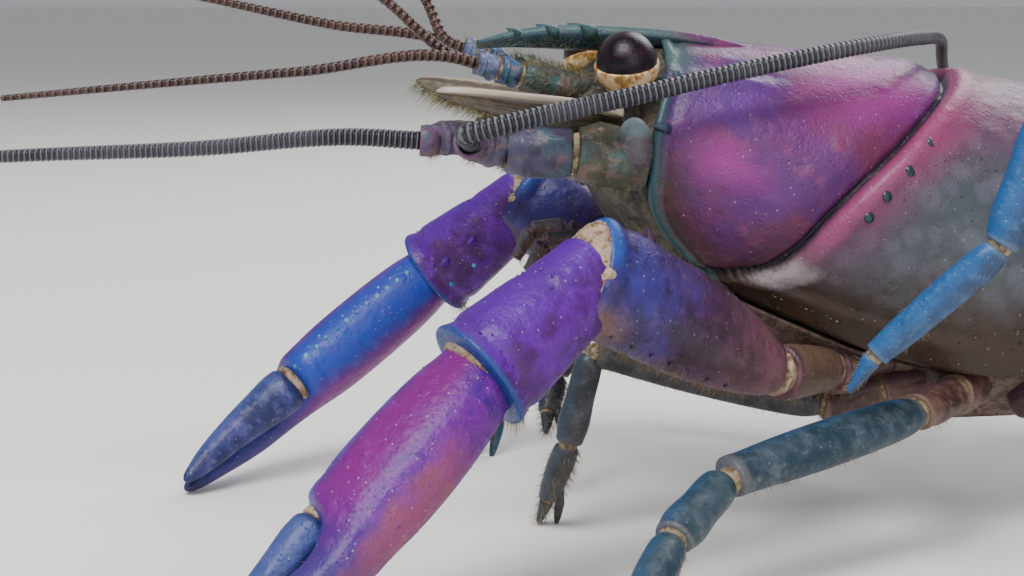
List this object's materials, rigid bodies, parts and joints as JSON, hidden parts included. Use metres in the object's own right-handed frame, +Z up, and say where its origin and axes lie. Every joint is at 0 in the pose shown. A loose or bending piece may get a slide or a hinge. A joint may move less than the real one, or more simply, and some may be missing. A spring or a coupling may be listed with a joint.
{
  "type": "freshwater crayfish model",
  "caption": "Life-size still model of a blue and purple freshwater crayfish standing on its legs and claw tips, with long ringed feelers and a half-spread tail fan.",
  "frame": {"origin": "on the floor under the middle of the animal's bounding box", "axes": "+Z up, the animal faces -Y, its left side is +X"},
  "size_m": [0.0682, 0.161, 0.0464],
  "materials": {
    "shell_purple": "satin purple shell with fine granules",
    "shell_abdomen": "satin mottled purple and green-grey shell",
    "shell_mauve": "satin mauve-pink shell",
    "shell_blue": "satin blue shell",
    "shell_slate": "satin blue-grey shell",
    "shell_cream": "satin cream skin and shell",
    "shell_fan": "satin blue tail fan with a paler rim",
    "stalk_cream": "smooth cream-yellow eyestalk",
    "cornea_dark": "wet gloss, dark purple-brown",
    "whip_rust": "ringed red-brown feeler"
  },
  "bodies": {
    "root": {"abdomen_1": "shell_abdomen", "abdomen_2": "shell_abdomen", "abdomen_3": "shell_abdomen", "abdomen_4": "shell_abdomen", "abdomen_5": "shell_abdomen", "abdomen_6": "shell_abdomen", "antenna_left": "shell_blue", "antenna_left_whip": "shell_blue", "antenna_right": "shell_blue", "antenna_right_whip": "shell_blue", "antennal_scale_left": "shell_cream", "antennal_scale_right": "shell_cream", "antennule_left": "shell_blue", "antennule_left_inner_whip": "whip_rust", "antennule_left_outer_whip": "whip_rust", "antennule_right": "shell_blue", "antennule_right_inner_whip": "whip_rust", "antennule_right_outer_whip": "whip_rust", "carapace": "shell_purple", "cheliped_left_carpus": "shell_purple", "cheliped_left_dactyl": "shell_blue", "cheliped_left_ischium": "shell_mauve", "cheliped_left_merus": "shell_mauve", "cheliped_left_palm": "shell_purple", "cheliped_right_carpus": "shell_purple", "cheliped_right_dactyl": "shell_blue", "cheliped_right_ischium": "shell_mauve", "cheliped_right_merus": "shell_mauve", "cheliped_right_palm": "shell_purple", "cornea_left": "cornea_dark", "cornea_right": "cornea_dark", "eyestalk_left": "stalk_cream", "eyestalk_right": "stalk_cream", "head_front": "shell_cream", "leg2_left_lower": "shell_slate", "leg2_left_upper": "shell_slate", "leg2_right_lower": "shell_slate", "leg2_right_upper": "shell_slate", "leg3_left_lower": "shell_slate", "leg3_left_upper": "shell_slate", "leg3_right_lower": "shell_slate", "leg3_right_upper": "shell_slate", "leg4_left_lower": "shell_slate", "leg4_left_upper": "shell_slate", "leg4_right_lower": "shell_slate", "leg4_right_upper": "shell_slate", "leg5_left_lower": "shell_slate", "leg5_left_upper": "shell_slate", "leg5_right_lower": "shell_slate", "leg5_right_upper": "shell_slate", "maxilliped_left": "shell_mauve", "maxilliped_right": "shell_mauve", "telson": "shell_fan", "thorax_underside": "shell_slate", "uropod_inner_left": "shell_fan", "uropod_inner_right": "shell_fan", "uropod_outer_left": "shell_fan", "uropod_outer_right": "shell_fan"}
  },
  "joints": []
}
